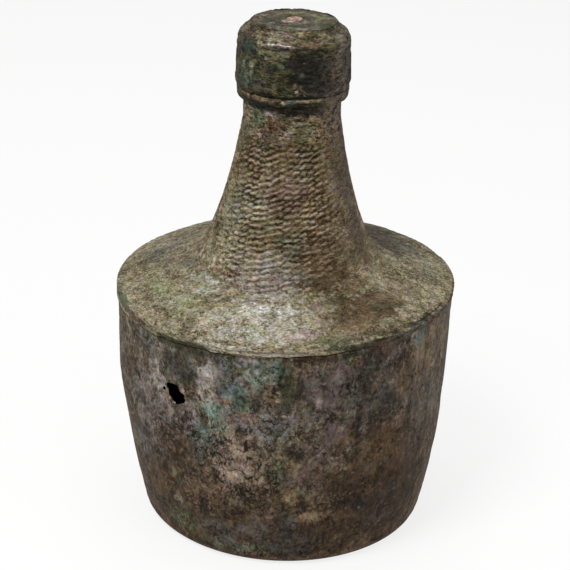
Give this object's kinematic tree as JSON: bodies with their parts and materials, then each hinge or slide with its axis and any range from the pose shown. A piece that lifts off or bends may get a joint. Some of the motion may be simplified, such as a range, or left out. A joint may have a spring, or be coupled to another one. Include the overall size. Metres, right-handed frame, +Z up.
{
  "type": "bronze flask",
  "caption": "Wide round-shouldered bronze flask with a tall tapering neck and a lift-off cap; holds liquid and stands on its flat base.",
  "frame": {"origin": "centre of the flat underside of the base", "axes": "+Z up along the neck, -Y towards the viewer in the picture, -X to the viewer's left"},
  "size_m": [0.1401, 0.14, 0.2135],
  "materials": {
    "body_bronze": "old bronze, matt grey-brown patina with teal and ochre patches",
    "shoulder_bronze": "old bronze, chased neck, olive patina under pale lime crust",
    "cap_bronze": "old cast bronze, dark green-brown patina",
    "copper": "dull pinkish copper",
    "solder": "dull grey solder"
  },
  "bodies": {
    "flask": {"body_shell": "body_bronze", "neck_and_shoulder": "shoulder_bronze", "seam_solder": "solder", "stop_ring": "shoulder_bronze"},
    "cap": {"cap_shell": "cap_bronze", "cap_disc": "cap_bronze", "cap_rivet": "copper"}
  },
  "joints": [
    {"name": "cap_lift", "type": "slide", "parent": "flask", "child": "cap", "axis": [0, 0, 1], "range_m": [0, 0.05]}
  ]
}
